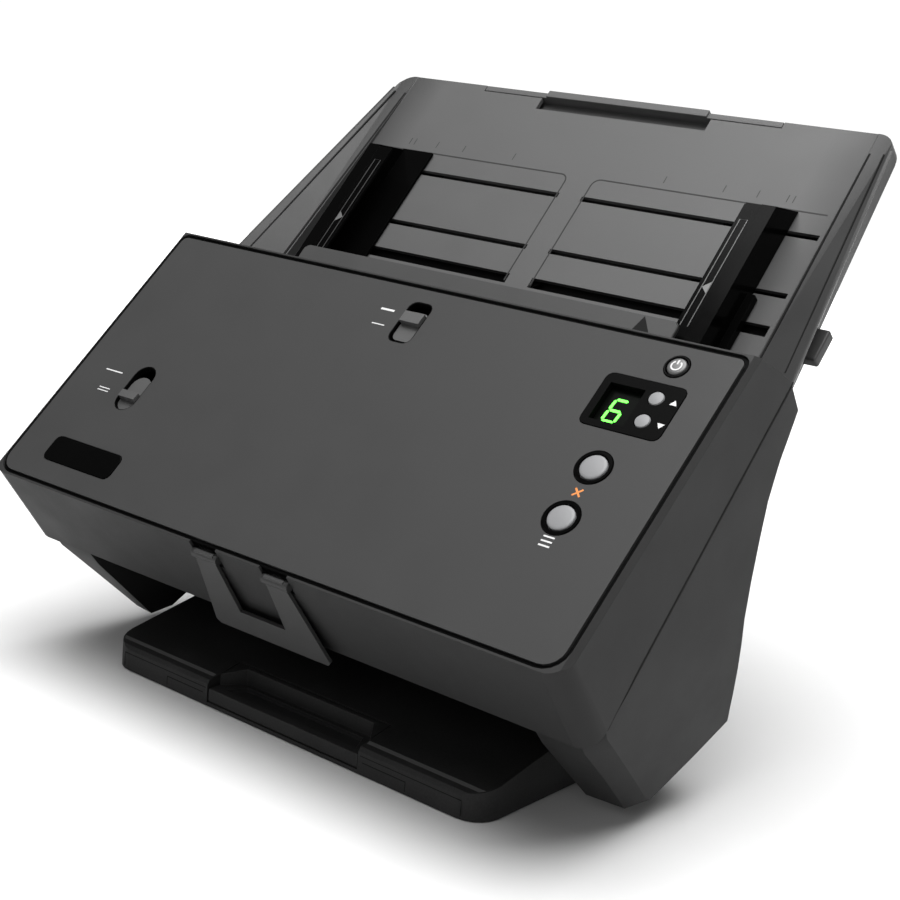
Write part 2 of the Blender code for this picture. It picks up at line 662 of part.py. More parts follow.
def main_board():
    return block("main_circuit_board", upright_frame(), (-84, 92), (120, 176.5), (8.0, 9.6), BOARD)


def rubber_feet():
    for name, x, y in (("front_left", -86, 122), ("front_right", 86, 122), ("rear_left", -86, 182),
                       ("rear_right", 86, 182)):
        turned(f"rubber_foot_{name}", upright_frame(x, y), foot_profile(), 20, FOOT_RUBBER)


def foot_profile():
    return [(0, 2.7), (8.0, 2.7), (8.0, 0.8), (7.2, 0), (0, 0)]


def rear_cover():
    outline = [(150.4, 153.5), (146.4, 110), (148.4, 70), (150.4, 51.2), (153.0, 51.4), (151.2, 70),
               (149.4, 110),
               (153.2, 150.5)]
    return profile_x("rear_cover", outline, -120, 120, GRAPHITE)


def lower_guide_plate():
    plate = block("lower_guide_plate", chute_frame(), (-108.5, 108.5), (PATH_EXIT, -31.5), (-2.2, -0.3),
                  CHARCOAL)
    windows = {"feed": ((-16, 16), (FEED_T - 6.6, FEED_T + 6.6)),
               "glass": ((-105.4, 105.4), (-124.4, -105.6))}
    for side in (-1, 1):
        for name, t in (("drive", DRIVE_T), ("exit", EXIT_T)):
            windows[f"{name}_{side}"] = ((50 * side - 14, 50 * side + 14), (t - 6.4, t + 6.4))
    for name, (x, t) in windows.items():
        boolean(plate, block(f"lower_{name}_window", chute_frame(), x, t, (-4, 2), None, CUTTERS))
    return plate


def hinge_bracket(name, side):
    """Arm from the tub's front wall with the pin that carries the lid."""
    outline = arc(LID_PIVOT, 2.0, 50, 290, 10) + [(58.8, 45.0), (54.1, 52.4)]
    arm = profile_x(name, outline, *sorted((118 * side, 122 * side)), STEEL)
    pin = cylinder(name + "_pin", side_frame(*LID_PIVOT, x=120 * side), 1.1, -7, 7, 16, None, CUTTERS)
    return boolean(arm, pin, "UNION")


# ---- gears -----------------------------------------------------------------
def gear_outline(teeth, module, phase, clearance=0.12):
    """Straight flanked teeth close to an involute; a tooth's middle is at the phase angle."""
    pitch = teeth * module / 2
    tip, root = pitch + 0.9 * module, pitch - 1.15 * module
    half = pi / (2 * teeth) - clearance / pitch
    points = []
    for i in range(teeth):
        middle = phase + tau * i / teeth
        at_root = half + (pitch - root) * 0.36 / pitch * 1.25
        at_tip = half - (tip - pitch) * 0.36 / pitch * 1.35
        for r, a in ((root, -at_root), (pitch, -half), (tip, -at_tip), (tip, at_tip), (pitch, half),
                     (root, at_root)):
            points.append((r * cos(middle + a), r * sin(middle + a)))
    return points


def mate_phase(from_phase, from_teeth, to_teeth, direction):
    """Phase that puts a gap of the second gear against a tooth of the first along the direction."""
    ahead = (direction - from_phase) * from_teeth / tau
    part = (ahead - round(ahead)) * tau / to_teeth
    return direction + pi + pi / to_teeth + part


def meet(p, reach_p, q, reach_q, side):
    """The point at the given reaches from two centres, on the chosen side of their line."""
    d = hypot(q[0] - p[0], q[1] - p[1])
    turn = acos((reach_p ** 2 + d ** 2 - reach_q ** 2) / (2 * reach_p * d)) * side
    aim = atan2(q[1] - p[1], q[0] - p[0]) + turn
    return (p[0] + reach_p * cos(aim), p[1] + reach_p * sin(aim))


def gear_train():
    """Centres (y, z) and phases of the six gears, all meshed."""
    def reach(a, b):
        return (a + b) * GEAR_MODULE / 2

    feed = path_yz(FEED_T, -FEED_R - 0.2)
    drive = path_yz(DRIVE_T, -DRIVE_R - 0.1)
    leave = path_yz(EXIT_T, -EXIT_R - 0.1)
    upper = meet(feed, reach(FEED_TEETH, UPPER_IDLER_TEETH), drive, reach(UPPER_IDLER_TEETH, DRIVE_TEETH), 1)
    lower = meet(drive, reach(DRIVE_TEETH, LOWER_IDLER_TEETH), leave, reach(LOWER_IDLER_TEETH, EXIT_TEETH), 1)
    below = reach(LOWER_IDLER_TEETH, PINION_TEETH)
    aim = PATH_TILT - pi / 2
    pinion = (lower[0] + below * cos(aim), lower[1] + below * sin(aim))

    def aim_from(a, b):
        return atan2(b[1] - a[1], b[0] - a[0])

    phase = {"lower": 0.0}
    phase["drive"] = mate_phase(0.0, LOWER_IDLER_TEETH, DRIVE_TEETH, aim_from(lower, drive))
    phase["exit"] = mate_phase(0.0, LOWER_IDLER_TEETH, EXIT_TEETH, aim_from(lower, leave))
    phase["pinion"] = mate_phase(0.0, LOWER_IDLER_TEETH, PINION_TEETH, aim_from(lower, pinion))
    phase["upper"] = mate_phase(phase["drive"], DRIVE_TEETH, UPPER_IDLER_TEETH, aim_from(drive, upper))
    phase["feed"] = mate_phase(phase["upper"], UPPER_IDLER_TEETH, FEED_TEETH, aim_from(upper, feed))
    return {"feed_gear": (feed, FEED_TEETH, phase["feed"], 2.9),
            "drive_gear": (drive, DRIVE_TEETH, phase["drive"], 2.9),
            "exit_gear": (leave, EXIT_TEETH, phase["exit"], 2.9),
            "upper_idler_gear": (upper, UPPER_IDLER_TEETH, phase["upper"], 2.2),
            "lower_idler_gear": (lower, LOWER_IDLER_TEETH, phase["lower"], 2.2),
            "motor_pinion": (pinion, PINION_TEETH, phase["pinion"], 1.6)}


def gears():
    for name, (centre, teeth, phase, bore) in gear_train().items():
        outlines = [gear_outline(teeth, GEAR_MODULE, phase), circle((0, 0), bore, 16)]
        extrude(name, outlines, GEAR_X, GEAR_X + GEAR_THICK, side_frame(*centre), ACETAL)


def lower_rollers():
    rollers = (("feed_roller", FEED_T, FEED_R, 0.2, [(0, 15, FEED_R)]),
               ("drive_roller", DRIVE_T, DRIVE_R, 0.1, [(-50, 13, DRIVE_R), (50, 13, DRIVE_R)]),
               ("exit_roller", EXIT_T, EXIT_R, 0.1, [(-50, 13, EXIT_R), (50, 13, EXIT_R)]))
    for name, t, radius, sink, bands in rollers:
        turned(name, x_axis_frame(t, -radius - sink), roller_profile(2.6, 117.6, bands), 24, RUBBER)


def motor():
    centre = gear_train()["motor_pinion"][0]
    profile = [(0, -62), (14, -62), (14, -100), (5, -100), (5, -103), (1.3, -103), (1.3, -110.5), (0, -110.5)]
    return turned("drive_motor", side_frame(*centre), profile, 24, STEEL)


# ---- chute -----------------------------------------------------------------
def chute_section(t):
    """The chute's cross-section, seen along its slope: back, flank, crease and floor, as (x, h)."""
    part = (t - CHUTE_FOOT) / (CHUTE_TOP - CHUTE_FOOT)

    def between(foot, top):
        return foot + (top - foot) * part

    back, rim, crease = between(*CHUTE_BACK_HALF), between(*CHUTE_RIM_HALF), between(*CREASE_HALF)
    right = [(back, -CHUTE_DEEP), (rim, between(*RIM_RISE)), (rim - 1.6, between(*RIM_RISE)),
             (crease + 0.6, between(*CREASE_RISE)), (crease, 0)]
    return right + [(-x, h) for x, h in reversed(right)]


def chute_corner(side):
    """What is cut away to round the chute's upper corners."""
    edge, r = CHUTE_RIM_HALF[1], CHUTE_RADIUS
    points = [(edge + 4, CHUTE_TOP - r), (edge, CHUTE_TOP - r)] + arc((edge - r, CHUTE_TOP - r), r, 8, 90, 6)
    points += [(edge - r, CHUTE_TOP + 3), (edge + 4, CHUTE_TOP + 3)]
    outline = [(side * x, t) for x, t in points]
    return extrude(f"chute_corner_{side}", [outline], -12, 12, chute_frame(), None, CUTTERS)


def feed_chute():
    """Sections along the slope joined into one body, then pocketed and slotted."""
    bm = bmesh.new()
    rings = [[bm.verts.new((x * MM, t * MM, h * MM)) for x, h in chute_section(t)] for t in (CHUTE_FOOT,
                                                                                             CHUTE_TOP)]
    count = len(rings[0])
    for i in range(count):
        j = (i + 1) % count
        bm.faces.new((rings[0][i], rings[0][j], rings[1][j], rings[1][i]))
    bm.faces.new(rings[0])
    bm.faces.new(rings[1])
    bmesh.ops.recalc_face_normals(bm, faces=bm.faces)
    bmesh.ops.triangulate(bm, faces=[f for f in bm.faces if len(f.verts) == 4])
    mesh = bpy.data.meshes.new("feed_chute")
    bm.to_mesh(mesh)
    bm.free()
    chute = new_object("feed_chute", mesh, chute_frame(), PARTS, GRAPHITE)
    for side in (-1, 1):
        boolean(chute, chute_corner(side))
    boolean(chute,
            block("chute_back_pocket", chute_frame(), (-128, 128), (-22, 98), (-CHUTE_DEEP - 2, -FLOOR_SKIN),
                         None, CUTTERS))
    boolean(chute,
            block("extension_way", chute_frame(), (-84.4, 84.4), (90, 120), (-6.1, -FLOOR_SKIN), None,
                  CUTTERS))
    boolean(chute,
            block("handle_notch", chute_frame(), (-84.4, 84.4), (101.0, 120), (-6.1, 4), None, CUTTERS))
    boolean(chute, block("finger_recess", chute_frame(), (-48, 48), (94.3, 102), (-6.1, 4), None, CUTTERS))
    for side in (-1, 1):
        for name, t0, t1 in (("upper", 45.2, 48.0), ("middle", 14.4, 17.1), ("lower", -5.2, 0.2)):
            boolean(chute,
                    block(f"{name}_slot_{side}", chute_frame(), sorted((6.4 * side, 128.5 * side)), (t0, t1),
                                 (-4, 4), None, CUTTERS))
    boolean(chute,
            block("latch_pocket", chute_frame(), (143.6, 165), (-12.4, 4.8), (-5.2, 1.0), None, CUTTERS))
    return chute


def chute_back_cover():
    return block("chute_back_cover", chute_frame(), (-127.6, 127.6), (-21.6, 97.6), (-CHUTE_DEEP, -6.4),
                 CHARCOAL)


def chute_extension():
    """Plate that pulls out of the chute's top edge, with a full width grip."""
    plate = block("chute_extension", chute_frame(), (-80, 80), (6, 102), (-6.0, -4.6), GRAPHITE)
    grip = block("extension_grip", chute_frame(), (-84, 84), (101.4, CHUTE_TOP), (-6.0, 0.0), None, CUTTERS)
    boolean(plate, grip, "UNION")
    crown = block("extension_crown", chute_frame(), (-45.5, 45.5), (101.4, CHUTE_TOP + 0.8), (-6.0, 1.2),
                  None, CUTTERS)
    return boolean(plate, crown, "UNION")


def guide_solid(name, side):
    """Wall and foot over the floor, stem through the slot, toothed rack behind the floor."""
    frame = chute_frame()
    slope = [(-26, 0.4), (58, 0.4), (47, GUIDE_HIGH), (-26, GUIDE_HIGH)]
    wall = profile_x(name, [path_yz(t, h) for t, h in slope],
                     *sorted((GUIDE_INNER * side, GUIDE_OUTER * side)), GLOSS)
    foot = block(name + "_foot", frame, sorted((GUIDE_FOOT * side, (GUIDE_INNER + 1) * side)),
                 (-25.7, 57.6), (0.5, 1.9),
                 None, CUTTERS)
    heel = block(name + "_heel", frame, sorted(((GUIDE_OUTER - 1) * side, 117.4 * side)), (-25.4, 11),
                 (0.6, 4.0), None,
                 CUTTERS)
    flange = block(name + "_flange", frame, sorted((GUIDE_FLANGE * side, (GUIDE_OUTER - 0.5) * side)),
                   (-25.2, 46.2),
                   (GUIDE_HIGH - 1.6, GUIDE_HIGH - 0.2), None, CUTTERS)
    stem = block(name + "_stem", frame, sorted((100.7 * side, 107.4 * side)), (-4.5, -0.5), (-3.45, 1.2),
                 None, CUTTERS)
    boolean(wall, foot, "UNION")
    boolean(wall, heel, "UNION")
    boolean(wall, flange, "UNION")
    boolean(wall, stem, "UNION")
    boolean(wall, rack(name + "_rack", side), "UNION")
    return wall


def rack(name, side):
    """Toothed bar beside the pinion with an end plate under the slot; the two are alike, half a turn apart."""
    pitch = pi * RACK_MODULE
    line = RACK_TEETH * RACK_MODULE / 2
    tip, root = line - 0.9 * RACK_MODULE, line + 1.15 * RACK_MODULE
    half = pitch / 4 - 0.12
    points = []
    for i in range(RACK_COUNT):
        middle = RACK_START + i * pitch
        points += [(middle - half - 0.63, root), (middle - half + 0.49, tip),
                   (middle + half - 0.49, tip), (middle + half + 0.63, root)]
    outline = [(RACK_START - half - 2.0, root)] + points
    outline += [(100, root), (100, -2.2), (108, -2.2), (108, line + 6), (RACK_START - half - 2.0, line + 6)]
    turn = Matrix.Rotation(0 if side < 0 else pi, 4, "Z")
    outline = [(-x, -y) for x, y in outline]
    return extrude(name, [outline], -4.3, -2.6, chute_frame(0, GUIDE_SLOT_T) @ turn, None, CUTTERS)


def guide_pinion():
    outlines = [gear_outline(RACK_TEETH, RACK_MODULE, pinion_phase()), circle((0, 0), 2.0, 12)]
    return extrude("guide_pinion", outlines, -4.3, -2.6, chute_frame(0, GUIDE_SLOT_T), BLACK)


def pinion_phase():
    """A gap of the pinion faces the rack tooth nearest to the pinion's middle."""
    pitch = pi * RACK_MODULE
    offset = RACK_START - round(RACK_START / pitch) * pitch
    return pi / 2 - offset / (RACK_TEETH * RACK_MODULE / 2) + pi / RACK_TEETH


def release_latch():
    return block("cover_release_latch", chute_frame(), (145.6, 154.5), (-11.4, 3.8), (-4.8, 0.6), CHARCOAL)


# ---- output tray -----------------------------------------------------------
def tray_top(y):
    return TRAY_LIP + (y - TRAY_FRONT - 6) * TRAY_RISE


def tray_side():
    return [(TRAY_FRONT, 0), (TRAY_BACK, 0), (TRAY_BACK, tray_top(TRAY_BACK)), (TRAY_FRONT + 6, TRAY_LIP),
            (TRAY_FRONT + 1.2, TRAY_LIP - 1.2), (TRAY_FRONT, TRAY_LIP - 3)]


def output_tray():
    tray = profile_x("output_tray", tray_side(), -TRAY_HALF, TRAY_HALF, BLACK)
    plan = rounded_rect(-TRAY_HALF, TRAY_HALF, TRAY_FRONT, TRAY_BACK, (12, 12, 0, 0), 5)
    frame = upright_frame()
    boolean(tray, extrude("tray_plan", [plan], -2, 60, frame, None, CUTTERS), "INTERSECT")
    front_way = ((-DRAWER_HALF - 0.4, DRAWER_HALF + 0.4), (20, DRAWER_BACK + 0.4), (1.6, 60))
    boolean(tray, block("drawer_way", frame, *front_way, None, CUTTERS))
    plate_way = ((-PLATE_HALF - 0.4, PLATE_HALF + 0.4), (40, 106), (2.0, 6.0))
    return boolean(tray, block("drawer_plate_way", frame, *plate_way, None, CUTTERS))


def tray_extension():
    """Grip in the tray's front edge on a thin plate that slides inside the tray."""
    frame = upright_frame()
    side = [(TRAY_FRONT + 0.4, 2.0), (DRAWER_BACK, 2.0), (DRAWER_BACK, tray_top(DRAWER_BACK)),
            (TRAY_FRONT + 6, TRAY_LIP), (TRAY_FRONT + 0.4, TRAY_LIP - 2.0)]
    drawer = profile_x("tray_extension", side, -DRAWER_HALF, DRAWER_HALF, BLACK)
    cut = [(-46, 20), (46, 20), (46, 33), (37, 45.5), (-37, 45.5), (-46, 33)]
    boolean(drawer, extrude("drawer_notch", [cut], 8.0, 40, frame, None, CUTTERS))
    deep = [(-38.5, 34), (38.5, 34), (34, 43), (-34, 43)]
    boolean(drawer, extrude("drawer_finger_well", [deep], 6.2, 40, frame, None, CUTTERS))
    plate = block("drawer_plate", frame, (-PLATE_HALF, PLATE_HALF), (44, 105.6), (2.4, 5.6), None, CUTTERS)
    return boolean(drawer, plate, "UNION")


# ---- assembly --------------------------------------------------------------
LID_PIECES = ("lid_shell", "front_panel", "panel_seam_trim", "display_bezel", "segment_display",
              "badge_plate",
              "power_button_ring", "cancel_button_ring", "scan_button_ring", "control_board",
              "lid_inner_guide", "upper_scan_module", "upper_scan_glass")


def hang(empty_name, place, names):
    """Parent the named pieces to an empty on the line they turn about."""
    empty = bpy.data.objects.new(empty_name, None)
    empty.location = place
    PARTS.objects.link(empty)
    bpy.context.view_layer.update()
    for name in names:
        child = bpy.data.objects[name]
        child.parent = empty
        child.matrix_parent_inverse = empty.matrix_world.inverted()


def build():
    lid_shell()
    front_panel()
    seam_trim()
    display_bezel()
    segment_display()
    badge_plate()
    button_rings()
    buttons()
    switch_knobs()
    control_board()
    lid_inner_guide()
    scan_units()
    upper_rollers()
    paper_stop_flap()
    base_chassis()
    cheek("left_cheek", -1)
    cheek("right_cheek", 1)
    base_pedestal()
    sockets()
    main_board()
    rubber_feet()
    rear_cover()
    lower_guide_plate()
    hinge_bracket("hinge_bracket_left", -1)
    hinge_bracket("hinge_bracket_right", 1)
    gears()
    lower_rollers()
    motor()
    feed_chute()
    chute_back_cover()
    chute_extension()
    guide_solid("left_paper_guide", -1)
    guide_solid("right_paper_guide", 1)
    guide_pinion()
    release_latch()
    output_tray()
    tray_extension()
    hang("lid_hinge_line", world(0, *LID_PIVOT), LID_PIECES)
    hang("flap_hinge_line", world(0, *FLAP_PIVOT), ("paper_stop_flap",))


build()
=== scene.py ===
"""Looks of the sheet fed document scanner.

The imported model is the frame. Its visible nodes are given rounded edges and procedural finishes,
and small moulded and printed details are added. Design values are in millimetres.
"""

import json
from math import atan2, cos, hypot, pi, radians, sin

import bmesh
import bpy
from mathutils import Matrix, Vector

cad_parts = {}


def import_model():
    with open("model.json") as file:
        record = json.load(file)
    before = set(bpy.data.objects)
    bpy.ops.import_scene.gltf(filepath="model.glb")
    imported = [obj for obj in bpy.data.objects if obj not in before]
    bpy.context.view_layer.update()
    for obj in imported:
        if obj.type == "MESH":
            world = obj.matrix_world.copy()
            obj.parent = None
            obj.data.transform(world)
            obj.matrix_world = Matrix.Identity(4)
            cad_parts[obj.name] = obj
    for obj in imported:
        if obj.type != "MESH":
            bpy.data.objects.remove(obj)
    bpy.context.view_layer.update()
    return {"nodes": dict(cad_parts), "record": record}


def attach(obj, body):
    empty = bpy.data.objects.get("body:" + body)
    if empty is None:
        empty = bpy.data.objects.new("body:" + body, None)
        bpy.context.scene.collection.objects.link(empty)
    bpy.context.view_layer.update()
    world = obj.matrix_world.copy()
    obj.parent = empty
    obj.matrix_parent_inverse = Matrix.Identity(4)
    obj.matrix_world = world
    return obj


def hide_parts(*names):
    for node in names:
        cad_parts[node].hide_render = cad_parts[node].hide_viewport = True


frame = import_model()

MM = 0.001
WELD = 0.004 * MM  # points closer than this are one point
SHARP_ANGLE = radians(40)
Y_MID = 119.5664  # the middle of the machine's depth, which is the frame's y = 0
PANEL_TILT = radians(43.4)
PANEL_FOOT = (0.0, 86.4)
PATH_TILT = radians(48.2)
PATH_POINT = (165.7, 186.8)

# Heights above the panel, the chute's floor or a front face, from the underside to the top of a mark
PRINT = (-0.02, 0.04)
LINE = (-0.05, 0.06)
ARROW_KEY_PRINT = (0.2, 0.3)
POWER_PRINT = (0.62, 0.84)
DISPLAY_PRINT = (-2.88, -2.7)
TICK = (-0.02, 0.05)
FILL_PRINT = (23.0, 23.08)
FEED_LIP = (22.82, 23.02)
GUIDE_TOP = 16.75

CHUTE_FOOT = -30.5
CHUTE_LENGTH = 135.0
# The chute's crease and the inner edge of its rim: half width and height at the foot, then at the top
CREASE = ((133.6, 4.8), (130.1, 0.2))
RIM = ((157.0, 13.4), (137.8, 0.4))
# Where the dark strips of painted groove shade up the chute's rims begin and end
GROOVE_ENDS = (-26.0, 93.0)
# Reach across the machine, and shift into the gap, of the black strips of painted shade in the seam between
# lid and cheeks
SEAM_REACH = (129.0, 158.6)
SEAM_SHIFT = 0.45
TRAY_FRONT = 28.8

FLOOR_GREY = 0.55
FLOOR_RADIUS = 1.5
FLOOR_DROP = 0.0004  # keeps the floor clear of the feet
GLOW_FROM, GLOW_FULL = 0.55, 1.2  # the floor fades to pure white between these distances
SKY_DIM, SKY_WHITE = 0.22, 1.05
CAMERA_PLACE = (476.74, -469.92, 302.63)
CAMERA_TURN, CAMERA_LIFT, CAMERA_ROLL = radians(38.667), radians(14.089), radians(5.084)
CAMERA_LENS = 70.876

BODY_OF = {node: body for body, nodes in frame["record"]["behaviour"]["bodies"].items() for node in nodes}
SLOT_OF = {part["node"]: part["material_slot"] for part in frame["record"]["subparts"]}


# ---- frames ----------------------------------------------------------------
def world(x, y, z):
    """The machine's own millimetres as a point in the frame."""
    return Vector((x, y - Y_MID, z)) * MM


def panel_frame(x=0.0, s=0.0, h=0.0):
    """Frame on the panel: x along the machine, y up the panel, z out of it, at (x, s, h)."""
    y = PANEL_FOOT[0] + s * cos(PANEL_TILT) - h * sin(PANEL_TILT)
    z = PANEL_FOOT[1] + s * sin(PANEL_TILT) + h * cos(PANEL_TILT)
    return Matrix.Translation(world(x, y, z)) @ Matrix.Rotation(PANEL_TILT, 4, "X")


def chute_frame(x=0.0, t=0.0, h=0.0):
    """Frame on the chute's floor: x along the machine, y up the chute, z out of it, at (x, t, h)."""
    y = PATH_POINT[0] + t * cos(PATH_TILT) - h * sin(PATH_TILT)
    z = PATH_POINT[1] + t * sin(PATH_TILT) + h * cos(PATH_TILT)
    return Matrix.Translation(world(x, y, z)) @ Matrix.Rotation(PATH_TILT, 4, "X")


# ---- materials -------------------------------------------------------------
def node_tools(mat):
    """The node tree of a material or a sky, with short forms to add and join its nodes."""
    tree = mat.node_tree

    def add(kind, inputs=None, **settings):
        node = tree.nodes.new(kind)
        for key, value in settings.items():
            setattr(node, key, value)
        for key, value in (inputs or {}).items():
            node.inputs[key].default_value = value
        return node

    return tree, add, tree.links.new


def grey(value, tint=(1.0, 1.0, 1.0)):
    """A linear grey as a colour with alpha, tinted if asked."""
    return (value * tint[0], value * tint[1], value * tint[2], 1.0)


def finish(name, colour, rough, grain=0.0, grain_size=0.35, mottle=0.06, rough_play=0.05, metallic=0.0,
           specular=0.5, stretch=(1, 1, 1)):
    """Moulded plastic, rubber or metal: mottled colour, uneven gloss and a fine surface grain."""
    mat = bpy.data.materials.new(name)
    mat.use_nodes = True
    tree, add, join = node_tools(mat)
    shader = tree.nodes["Principled BSDF"]
    shader.inputs["Metallic"].default_value = metallic
    shader.inputs["Specular IOR Level"].default_value = specular
    place = add("ShaderNodeTexCoord")
    scale = add("ShaderNodeMapping")
    scale.inputs["Scale"].default_value = stretch
    join(place.outputs["Object"], scale.inputs["Vector"])
    cloud = add("ShaderNodeTexNoise", {"Scale": 35.0, "Detail": 4.0, "Roughness": 0.6})
    join(scale.outputs["Vector"], cloud.inputs["Vector"])
    speck = add("ShaderNodeTexNoise", {"Scale": 1.0 / (grain_size * MM), "Detail": 2.0, "Roughness": 0.5})
    join(scale.outputs["Vector"], speck.inputs["Vector"])
    both = add("ShaderNodeMath", operation="ADD")
    join(cloud.outputs["Fac"], both.inputs[0])
    join(speck.outputs["Fac"], both.inputs[1])
    ramp = add("ShaderNodeMapRange", {"From Min": 0.7, "From Max": 1.3, "To Min": 1 - mottle,
                                      "To Max": 1 + mottle})
    join(both.outputs[0], ramp.inputs["Value"])
    tint = add("ShaderNodeMix", {"Factor": 1.0}, data_type="RGBA", blend_type="MULTIPLY")
    tint.inputs[6].default_value = colour
    join(ramp.outputs["Result"], tint.inputs[7])
    join(tint.outputs[2], shader.inputs["Base Color"])
    smoothest, roughest = max(0.02, rough - rough_play), rough + rough_play
    gloss = add("ShaderNodeMapRange", {"From Min": 0.3, "From Max": 0.7, "To Min": smoothest,
                                       "To Max": roughest})
    join(cloud.outputs["Fac"], gloss.inputs["Value"])
    join(gloss.outputs["Result"], shader.inputs["Roughness"])
    if grain:
        bump = add("ShaderNodeBump", {"Strength": grain, "Distance": 0.00006})
        join(speck.outputs["Fac"], bump.inputs["Height"])
        join(bump.outputs["Normal"], shader.inputs["Normal"])
    return mat


def glow(name, colour, strength):
    """A finish that gives its own light."""
    mat = finish(name, colour, 0.4)
    shader = mat.node_tree.nodes["Principled BSDF"]
    shader.inputs["Emission Color"].default_value = colour
    shader.inputs["Emission Strength"].default_value = strength
    return mat


def clear_glass(name):
    """Faintly green glass that lets most light through."""
    mat = finish(name, (0.75, 0.85, 0.83, 1), 0.05, rough_play=0.02)
    shader = mat.node_tree.nodes["Principled BSDF"]
    shader.inputs["Transmission Weight"].default_value = 0.9
    shader.inputs["IOR"].default_value = 1.5
    return mat


def circuit(name):
    """Green solder mask with lighter tracks."""
    mask, mask_light, track = (0.015, 0.10, 0.04, 1), (0.02, 0.13, 0.05, 1), (0.05, 0.22, 0.08, 1)
    mat = finish(name, mask, 0.35)
    tree, add, join = node_tools(mat)
    place = add("ShaderNodeTexCoord")
    bricks = add("ShaderNodeTexBrick", {"Scale": 160.0, "Mortar Size": 0.05, "Color1": mask,
                                        "Color2": mask_light, "Mortar": track})
    join(place.outputs["Object"], bricks.inputs["Vector"])
    join(bricks.outputs["Color"], tree.nodes["Principled BSDF"].inputs["Base Color"])
    return mat


def paint_side_shade(mat):
    """Painted shade: the chute's colour darkens between 110 and 136 mm out from its middle, so its flared
    rims are deeper than its floor.
    """
    tree, add, join = node_tools(mat)
    place = add("ShaderNodeTexCoord")
    split = add("ShaderNodeSeparateXYZ")
    join(place.outputs["Object"], split.inputs["Vector"])
    side = add("ShaderNodeMath", operation="ABSOLUTE")
    join(split.outputs["X"], side.inputs[0])
    # painted shade: the colour is multiplied down to 0.4 towards both rims
    fade = add("ShaderNodeMapRange", {"From Min": 0.110, "From Max": 0.136, "To Min": 1.0, "To Max": 0.40})
    join(side.outputs[0], fade.inputs["Value"])
    shader = tree.nodes["Principled BSDF"]
    paint = shader.inputs["Base Color"].links[0].from_socket
    shade_mix = add("ShaderNodeMix", {"Factor": 1.0}, data_type="RGBA", blend_type="MULTIPLY")
    join(paint, shade_mix.inputs[6])
    join(fade.outputs["Result"], shade_mix.inputs[7])
    join(shade_mix.outputs[2], shader.inputs["Base Color"])


LOOKS = {
    "graphite": finish("graphite", grey(0.018), 0.50, 0.25, specular=0.13),
    "charcoal": finish("charcoal", grey(0.012), 0.5, 0.25, specular=0.15),
    "smoke": finish("smoke", grey(0.028), 0.50, 0.12, mottle=0.03, specular=0.13),
    "black": finish("black", grey(0.0018), 0.42, 0.2, specular=0.015),
    "gloss_black": finish("gloss_black", grey(0.0012), 0.16, mottle=0.1, rough_play=0.04, specular=0.025),
    "keycap": finish("keycap", grey(0.155, (0.99, 1.0, 1.02)), 0.38, 0.05, mottle=0.02, specular=0.25),
    "switch": finish("switch", grey(0.05), 0.4, 0.15, specular=0.3),
    "display": finish("display", grey(0.002, (0.8, 1.0, 0.8)), 0.3, mottle=0.1, specular=0.02),
    "roller_rubber": finish("roller_rubber", (0.045, 0.06, 0.075, 1), 0.8, 0.5, 0.6),
    "foot_rubber": finish("foot_rubber", grey(0.012), 0.85, 0.4, 0.5),
    "acetal": finish("acetal", (0.72, 0.70, 0.64, 1), 0.42, 0.08),
    "steel": finish("steel", grey(0.5), 0.32, 0.1, 0.2, metallic=1.0, stretch=(1, 1, 12)),
    "board": circuit("board"),
    "scan_glass": clear_glass("scan_glass"),
    "sensor": finish("sensor", grey(0.016), 0.55, 0.3),
}
# The chute's graphite, with painted shade darkening it towards both rims
CHUTE = finish("chute_graphite_side_shade", grey(0.060), 0.42, 0.15, mottle=0.03, specular=0.2)
paint_side_shade(CHUTE)
LIP = finish("lip_graphite", grey(0.035), 0.45, 0.15, mottle=0.03, specular=0.2)
TRAY_TOP = finish("tray_black", grey(0.017), 0.5, 0.5, grain_size=0.9, mottle=0.25, specular=0.2)
# Lighter grey for the band along the tray's lip: a painted highlight
TRAY_HIGHLIGHT = finish("tray_highlight", grey(0.075), 0.4, 0.2, specular=0.2)
# Lighter grey lines of painted highlight along the guides' top edges
GUIDE_HIGHLIGHT = finish("guide_highlight", grey(0.028), 0.3)
GUIDE_MARK = finish("guide_mark", grey(0.08), 0.35)
POWER_CAP = finish("power_cap", grey(0.055), 0.35)
FLAP = finish("flap", grey(0.026), 0.42, 0.2, specular=0.2)
PRINT_WHITE = finish("print_white", grey(0.42), 0.5)
PRINT_ORANGE = finish("print_orange", (0.46, 0.14, 0.012, 1), 0.5)
LINE_DARK = finish("line_dark", grey(0.008), 0.6, specular=0.05)
LINE_SOFT = finish("line_soft", grey(0.022), 0.5, specular=0.1)
LIGHT_GREEN = glow("light_green", (0.10, 0.9, 0.05, 1), 1.3)


# ---- pieces ----------------------------------------------------------------
def add_piece(name, mesh, material, body):
    """A mesh as an object that moves with a body of the frame."""
    obj = bpy.data.objects.new(name, mesh)
    bpy.context.scene.collection.objects.link(obj)
    obj.data.materials.clear()
    obj.data.materials.append(material)
    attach(obj, body)
    return obj


def soften(mesh):
    """Smooth shading, except over sharp edges."""
    mesh.shade_smooth()
    mesh.set_sharp_from_angle(angle=SHARP_ANGLE)


